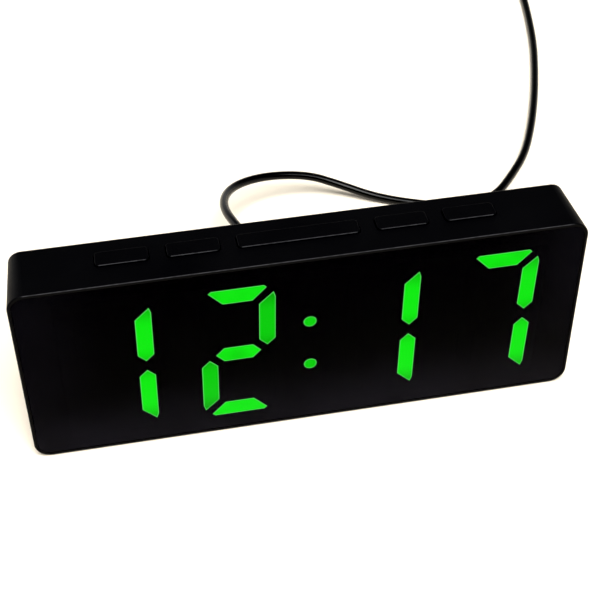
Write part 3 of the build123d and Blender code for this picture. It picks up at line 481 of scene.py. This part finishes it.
def new_piece(name, shape, body, node, finishes):
    """Turns a bmesh into a piece that stands for a CAD part."""
    mesh = bpy.data.meshes.new(name)
    shape.to_mesh(mesh)
    shape.free()
    piece = bpy.data.objects.new(name, mesh)
    bpy.context.scene.collection.objects.link(piece)
    for finish in finishes:
        mesh.materials.append(finish)
    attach(piece, body)
    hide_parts(node)
    return piece


def whole_faces(node):
    """A bmesh copy of a CAD part with its loose triangles joined into whole faces."""
    shape = bmesh.new()
    shape.from_mesh(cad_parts[node].data)
    bmesh.ops.remove_doubles(shape, verts=shape.verts, dist=0.001 * MM)
    bmesh.ops.dissolve_limit(shape, angle_limit=radians(0.5), verts=shape.verts, edges=shape.edges)
    return shape


KEY_PLACES = ("far_left", "left", "centre", "right", "far_right")
# How far the hidden lip of a key stands out in front of its cap
KEY_LIP = 0.8 * MM
# Roundings of the front edges, as in the source
CASE_EDGE_RADIUS = 0.4 * MM
KEY_EDGE_RADIUS = 0.35 * MM


class CLOCK_OT_case(bpy.types.Operator):
    """Finish the case, keys, door, feet and screws"""

    bl_idname = "clock.case"
    bl_label = "Case"

    def execute(self, context):
        case_plastic = eroded_abs("eroded_abs", CASE_LOW.y, CASE_HIGH.z, CASE_EDGE_RADIUS)
        paint(["rear_shell", "battery_door"], case_plastic)
        key_low, key_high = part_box("key_centre")
        keys = [f"key_{place}" for place in KEY_PLACES]
        # The keys' front edges get the same painted highlight as the case
        paint(keys, eroded_abs("eroded_abs_keys", key_low.y + KEY_LIP, key_high.z, KEY_EDGE_RADIUS))
        # Pressed rubber: dull, slightly greyer than the case
        paint(["foot_pads"], plain_finish("foot_rubber", "#101010", "#1a1a1a", 0.8, 2.0, 0.4, 0.02))
        # Zinc-plated steel: a light grey glint in each counterbore
        zinc = plain_finish(
            "zinc_plated_steel", "#8c8d90", "#a3a4a6", 0.32, 1.0, 0.2, 0.004, metallic=1.0
        )
        paint(["housing_screws", "board_screws", "key_board_screws"], zinc)
        return {"FINISHED"}


# Edges of the window that turn by more than the first are bevelled, and those that turn by more
# than the second stay sharp in shading
RIM_ANGLE = radians(60)
SHARP_ANGLE = radians(35)
# How much the window hides, and the strength of light that makes up for it
WINDOW_COVER = 0.92
LIGHT_STRENGTH = 1 / (1 - WINDOW_COVER)
# The share of that light that each digit's uprights and the colon's dots have in the photograph
POST_SHARES = {"hour_tens": 1.0, "hour_units": 0.72, "minute_tens": 1.0, "minute_units": 0.97}
DOT_SHARE = 0.8


class CLOCK_OT_display(bpy.types.Operator):
    """Build the window and the lit segments, and finish what holds them"""

    bl_idname = "clock.display"
    bl_label = "Display"

    def execute(self, context):
        settings = context.scene.clock_display
        shape = whole_faces("front_film")
        back = [v for v in shape.verts if v.co.y > (FILM_LOW.y + FILM_HIGH.y) / 2]
        bmesh.ops.translate(shape, verts=back, vec=(0, -settings.window_gap, 0))
        rims = [
            edge
            for edge in shape.edges
            if edge.is_manifold and edge.calc_face_angle() > RIM_ANGLE
        ]
        bmesh.ops.bevel(
            shape,
            geom=rims,
            offset=settings.window_edge,
            offset_type="OFFSET",
            segments=3,
            profile=0.5,
            affect="EDGES",
            material=-1,
        )
        for face in shape.faces:
            face.material_index = int(face.normal.y > 0.9)
        faces = [smoked_acrylic(), clear_acrylic()]
        window = new_piece("window", shape, "clock", "front_film", faces)
        window.data.shade_smooth()
        window.data.set_sharp_from_angle(angle=SHARP_ANGLE)
        matte_abs = dull_plastic("matte_abs", "#020202", "#040404", 8.0)
        paint(["display_carrier", "display_reflector"], matte_abs)
        unlit = dull_plastic("smoked_polycarbonate", "#020302", "#030403", 6.0)
        rim = even_diffuser("frosted_polycarbonate_rim", settings.rim, settings.rim, 1.0)
        bar = even_diffuser("frosted_polycarbonate_bar", settings.lit, settings.dim, 1.0)
        dot = even_diffuser("frosted_polycarbonate_dot", settings.lit, settings.dim, DOT_SHARE)
        for digit, share in POST_SHARES.items():
            shape = lit_shape(f"{digit}_lit")
            finishes = [rim, post_diffuser(f"frosted_polycarbonate_{digit}", share), bar]
            new_piece(f"{digit}_light", shape, "clock", f"{digit}_lit", finishes)
            paint([f"{digit}_unlit"], unlit)
        dots = lit_shape("colon_dots")
        new_piece("colon_light", dots, "clock", "colon_dots", [rim, dot, dot])
        return {"FINISHED"}


class CLOCK_OT_works(bpy.types.Operator):
    """Finish the boards, switches, cells and wires inside"""

    bl_idname = "clock.works"
    bl_label = "Works"

    def execute(self, context):
        paint(["led_board", "key_board"], solder_mask())
        # Cast resin of the LEDs: yellowish and clear-skinned
        led_resin = plain_finish("led_resin", "#d9c878", "#e4d68f", 0.3, 1.0, 0.3, 0.004)
        paint(["led_chips"], led_resin)
        # Moulded epoxy: dark grey with a dry, even grain
        epoxy = plain_finish("moulded_epoxy", "#141416", "#1b1b1e", 0.6, 2.0, 0.15, 0.006)
        paint(["controller_chip", "buzzer"], epoxy)
        # Nickel plate: warm bright metal
        nickel = plain_finish(
            "nickel_plate", "#b9b6ab", "#c8c5bb", 0.25, 2.0, 0.3, 0.004, metallic=1.0
        )
        contacts = ["contact_springs", "contact_plates_left", "contact_plates_right"]
        paint(["quartz_crystal", *contacts], nickel)
        # Shrunk PVC sleeve: dark blue and taut
        sleeve = plain_finish("shrink_sleeve", "#141c38", "#1a2344", 0.35, 3.0, 1.0, 0.01)
        paint(["smoothing_capacitor"], sleeve)
        # Undyed moulded nylon: milky ivory
        nylon = plain_finish("natural_nylon", "#e2ddc9", "#ebe7d6", 0.5, 2.0, 0.4, 0.01)
        paint(["power_connector"], nylon)
        # Black moulded nylon: dull body of the switches
        black_nylon = plain_finish("switch_nylon", "#17171a", "#1e1e21", 0.55, 1.5, 0.3, 0.008)
        paint(["switch_bodies"], black_nylon)
        # Moulded acetal: black, smooth and slightly waxy
        stems = [f"stem_{place}" for place in KEY_PLACES]
        paint(stems, plain_finish("acetal", "#1c1c1e", "#232326", 0.35, 2.0, 0.5, 0.004))
        # Extruded PVC ribbon: light grey, its wires felt as a fine drift
        paint(["key_ribbon"], plain_finish("ribbon_pvc", "#8d8f92", "#a0a2a5", 0.5, 0.8, 0.4, 0.01))
        # Printed film round a cell: dark green, glossy, a little wavy
        film = plain_finish("cell_sleeve", "#12301f", "#173a26", 0.3, 8.0, 2.0, 0.01)
        paint(["cell_top", "cell_middle", "cell_bottom"], film)
        # Extruded PVC of the wires: clean red and soft black
        red = plain_finish("red_pvc", "#a3100e", "#b41613", 0.4, 2.0, 0.6, 0.01)
        paint(["battery_wire_red", "power_wire_red"], red)
        black = plain_finish("black_pvc", "#0e0e0f", "#151516", 0.4, 2.0, 0.6, 0.01)
        paint(["battery_wire_black", "power_wire_black"], black)
        return {"FINISHED"}


# The cord's route in millimetres: from its bend relief along the photographed line to the coil
CORD_ROUTE = [
    (-4.0, 30.5, 25.0),
    (-4.0, 40.5, 25.0),
    (-10.0, 56.5, 24.0),
    (-13.0, 75.5, 19.5),
    (-8.0, 92.0, 14.5),
    (5.0, 100.5, 11.5),
    (22.0, 101.5, 9.0),
    (34.0, 98.0, 5.0),
    (46.0, 91.9, 2.0),
    (60.0, 85.6, 1.5),
    (77.0, 79.8, 1.5),
    (89.8, 84.6, 1.5),
    (99.8, 96.2, 1.5),
    (108.5, 108.0, 1.5),
    (116.5, 124.5, 1.5),
    (124.0, 143.0, 1.5),
    (131.0, 163.0, 1.5),
    (137.5, 184.0, 1.5),
    (142.5, 205.5, 1.5),
    (146.5, 226.0, 1.5),
    (148.2, 243.0, 2.35),
    (148.2, 254.5, 2.35),
]
# The coil, in millimetres and quarter turns: one layer inwards, a climb, and one layer outwards
COIL_MEAN_RADIUS = 16.5
COIL_PITCH = 3.6
COIL_LEAD = 3.0
LAYER_QUARTERS = 12
CLIMB_QUARTERS = 2
COIL_QUARTERS = 25
STEPS_PER_QUARTER = 6
# From the coil to the plug: its length and the height of its end in millimetres, and how much
# of the rise is done at shares of that length
TAIL_LENGTH = 26.0
PLUG_HEIGHT = 4.0
TAIL_RISE = ((0.25, 0.1), (0.5, 0.55), (0.75, 0.95), (1.0, 1.0))


def coil_route():
    """The coil's points: in along the floor, up a layer, out again, then on to the plug."""
    entry = Vector(CORD_ROUTE[-1])
    turned_at = LAYER_QUARTERS + CLIMB_QUARTERS / 2
    outer = COIL_MEAN_RADIUS + COIL_PITCH * turned_at / 8
    centre = Vector((entry.x - outer, entry.y + COIL_LEAD, entry.z))
    points = []
    for step in range(1, COIL_QUARTERS * STEPS_PER_QUARTER + 1):
        quarter = step / STEPS_PER_QUARTER
        angle = quarter * pi / 2
        radius = outer - COIL_PITCH * min(quarter, 2 * turned_at - quarter) / 4
        climb = min(max((quarter - LAYER_QUARTERS) / CLIMB_QUARTERS, 0), 1)
        offset = Vector((radius * cos(angle), radius * sin(angle), COIL_PITCH * climb))
        points.append(centre + offset)
    last = points[-1]
    for run, rise in TAIL_RISE:
        height = last.z + (PLUG_HEIGHT - last.z) * rise
        points.append(Vector((last.x - TAIL_LENGTH * run, last.y, height)))
    return points


class CLOCK_OT_cord(bpy.types.Operator):
    """Lay the cord and finish its bend relief, tie and plug"""

    bl_idname = "clock.cord"
    bl_label = "Cord"

    def execute(self, context):
        settings = context.scene.clock_cord
        curve = bpy.data.curves.new("cord", "CURVE")
        curve.dimensions = "3D"
        curve.bevel_depth = settings.diameter / 2
        curve.bevel_resolution = 6
        curve.resolution_u = 8
        curve.use_fill_caps = True
        spline = curve.splines.new("NURBS")
        points = [Vector(point) for point in CORD_ROUTE] + coil_route()
        spline.points.add(len(points) - 1)
        for place, point in zip(spline.points, points):
            place.co = (*(point * MM), 1.0)
        spline.order_u = 3
        spline.use_endpoint_u = True
        cord = bpy.data.objects.new("cord", curve)
        context.scene.collection.objects.link(cord)
        # Extruded soft PVC: smooth black that draws one thin bright line along the cord
        jacket, tree, surface, place = new_finish("cord_pvc", 0.2, specular=0.12)
        worn = [share * 1.4 for share in settings.jacket]
        mottle(tree, surface, place, 20 * MM, settings.jacket, worn)
        grain(tree, surface, place, 2.5 * MM, 0.01 * MM)
        curve.materials.append(jacket)
        paint(["cord_grip"], jacket)
        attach(cord, "clock")
        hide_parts("power_cord", "cord_coil")
        # Moulded PVC: satin black, duller than the cord
        plug_pvc = plain_finish(
            "plug_pvc", "#060607", "#0b0b0c", 0.45, 6.0, 0.3, 0.012, specular=0.2
        )
        paint(["usb_overmould", "coil_tie"], plug_pvc)
        # Bright nickel on folded steel: clean cool mirror, slightly soft
        steel = plain_finish(
            "bright_nickel", "#c4c4c2", "#d0d0ce", 0.22, 5.0, 0.5, 0.003, metallic=1.0
        )
        paint(["usb_shell"], steel)
        # White moulded polymer: plain and even
        paint(["usb_tongue"], plain_finish("white_lcp", "#dcdcd8", "#e6e6e2", 0.5, 2.0, 0.3, 0.006))
        # Gold plate: small warm glints in the mouth of the plug
        gold = plain_finish("gold_plate", "#d9a441", "#e2b257", 0.25, 1.0, 0.2, 0.002, metallic=1.0)
        paint(["usb_contacts"], gold)
        return {"FINISHED"}


# The camera, fitted to the case's edges in the photograph
CAMERA_PLACE = Vector((-0.053677, -0.288526, 0.299284))
CAMERA_TURN = (radians(48.687), radians(0.513), radians(-11.004))
CAMERA_LENS = 80.1
CAMERA_SENSOR = 36.0
# Each panel light in metres: name, width, height, place, and the point that it faces
PANELS = (
    ("strip", 0.9, 0.1, (0.2, -0.85, 1.1), (0, 0, 0.06)),
    ("back", 1.0, 1.0, (-1.0, 0.9, 0.6), (-0.08, 0, 0.05)),
)
# Width of the overhead light as seen from the clock, that of a 1 m panel 1.7 m away, and the way
# its light goes
OVERHEAD_ANGLE = radians(34)
OVERHEAD_WAY = Vector((0.0, 0.7, -1.57))
# Heights, as the upward share of a direction, between which the room darkens from walls to ceiling
WALL_TOP = 0.05
CEILING_START = 0.42
# The photograph's blacks are printed hard, so the picture's darkest tones are too
BLACK_LEVEL = 0.0025
# How far the floor reaches each way, its gap under the feet, and the patches of its colour
FLOOR_REACH = 4.0
FLOOR_GAP = 0.05 * MM
FLOOR_PATCH = 400 * MM


class CLOCK_OT_stage(bpy.types.Operator):
    """Lay the pale floor and set the lights and the camera"""

    bl_idname = "clock.stage"
    bl_label = "Stage"

    def execute(self, context):
        settings = context.scene.clock_stage
        scene = context.scene
        shape = bmesh.new()
        below = Matrix.Translation((0, 0, -FLOOR_GAP))
        bmesh.ops.create_grid(shape, x_segments=1, y_segments=1, size=FLOOR_REACH, matrix=below)
        mesh = bpy.data.meshes.new("floor")
        shape.to_mesh(mesh)
        shape.free()
        floor = bpy.data.objects.new("floor", mesh)
        scene.collection.objects.link(floor)
        # Matte laminate: warm white that drifts a little from place to place
        finish, tree, surface, place = new_finish("matte_laminate", 0.6, specular=0.2)
        mottle(tree, surface, place, FLOOR_PATCH, settings.floor, srgb("#fcf3e2"))
        mesh.materials.append(finish)
        for name, width, height, place, aim in PANELS:
            lamp = bpy.data.lights.new(name, "AREA")
            lamp.energy = getattr(settings, f"{name}_power")
            lamp.shape = "RECTANGLE"
            lamp.size = width
            lamp.size_y = height
            light = bpy.data.objects.new(name, lamp)
            scene.collection.objects.link(light)
            light.location = place
            light.rotation_euler = (Vector(aim) - Vector(place)).to_track_quat("-Z", "Y").to_euler()
        lamp = bpy.data.lights.new("overhead", "SUN")
        lamp.energy = settings.overhead
        lamp.angle = OVERHEAD_ANGLE
        light = bpy.data.objects.new("overhead", lamp)
        scene.collection.objects.link(light)
        light.rotation_euler = OVERHEAD_WAY.to_track_quat("-Z", "Y").to_euler()
        world = bpy.data.worlds.new("sky")
        world.use_nodes = True
        tree = world.node_tree
        direction = tree.nodes.new("ShaderNodeTexCoord").outputs["Generated"]
        parts = add_node(tree, "ShaderNodeSeparateXYZ", {"Vector": direction})
        inputs = {
            "Value": parts.outputs["Z"],
            "From Min": WALL_TOP,
            "From Max": CEILING_START,
            "To Min": settings.walls,
            "To Max": settings.ceiling,
        }
        glow = add_node(tree, "ShaderNodeMapRange", inputs, interpolation_type="SMOOTHSTEP")
        backdrop = tree.nodes["Background"]
        backdrop.inputs["Color"].default_value = opaque(srgb("#fdfdff"))
        tree.links.new(glow.outputs[0], backdrop.inputs["Strength"])
        scene.world = world
        lens = bpy.data.cameras.new("camera")
        lens.sensor_width = CAMERA_SENSOR
        lens.lens = CAMERA_LENS
        camera = bpy.data.objects.new("camera", lens)
        scene.collection.objects.link(camera)
        camera.location = CAMERA_PLACE
        camera.rotation_euler = CAMERA_TURN
        scene.camera = camera
        scene.view_settings.view_transform = "Standard"
        scene.view_settings.use_curve_mapping = True
        scene.view_settings.curve_mapping.black_level = (BLACK_LEVEL,) * 3
        scene.view_settings.curve_mapping.update()
        return {"FINISHED"}


STEPS = (CLOCK_OT_cord, CLOCK_OT_case, CLOCK_OT_display, CLOCK_OT_works, CLOCK_OT_stage)
GROUPS = {
    "clock_case": CaseSettings,
    "clock_display": DisplaySettings,
    "clock_cord": CordSettings,
    "clock_stage": StageSettings,
}


class CLOCK_PT_sidebar(bpy.types.Panel):
    """Buttons and settings of the desk clock"""

    bl_idname = "CLOCK_PT_sidebar"
    bl_label = "Desk clock"
    bl_space_type = "VIEW_3D"
    bl_region_type = "UI"
    bl_category = "Desk clock"

    def draw(self, context):
        for step in STEPS:
            self.layout.operator(step.bl_idname)
        for group in GROUPS:
            settings = getattr(context.scene, group)
            box = self.layout.box()
            for name in settings.__annotations__:
                box.prop(settings, name)


def register():
    """Makes the settings, buttons and panel known to Blender."""
    for kind in (*GROUPS.values(), *STEPS, CLOCK_PT_sidebar):
        bpy.utils.register_class(kind)
    for group, kind in GROUPS.items():
        setattr(bpy.types.Scene, group, PointerProperty(type=kind))


def unregister():
    """Takes them away again."""
    for group in GROUPS:
        delattr(bpy.types.Scene, group)
    for kind in (CLOCK_PT_sidebar, *reversed(STEPS), *GROUPS.values()):
        bpy.utils.unregister_class(kind)


def main():
    """Builds the whole clock on its stage."""
    register()
    for step in STEPS:
        group, action = step.bl_idname.split(".")
        getattr(getattr(bpy.ops, group), action)()


if __name__ == "__main__":
    main()
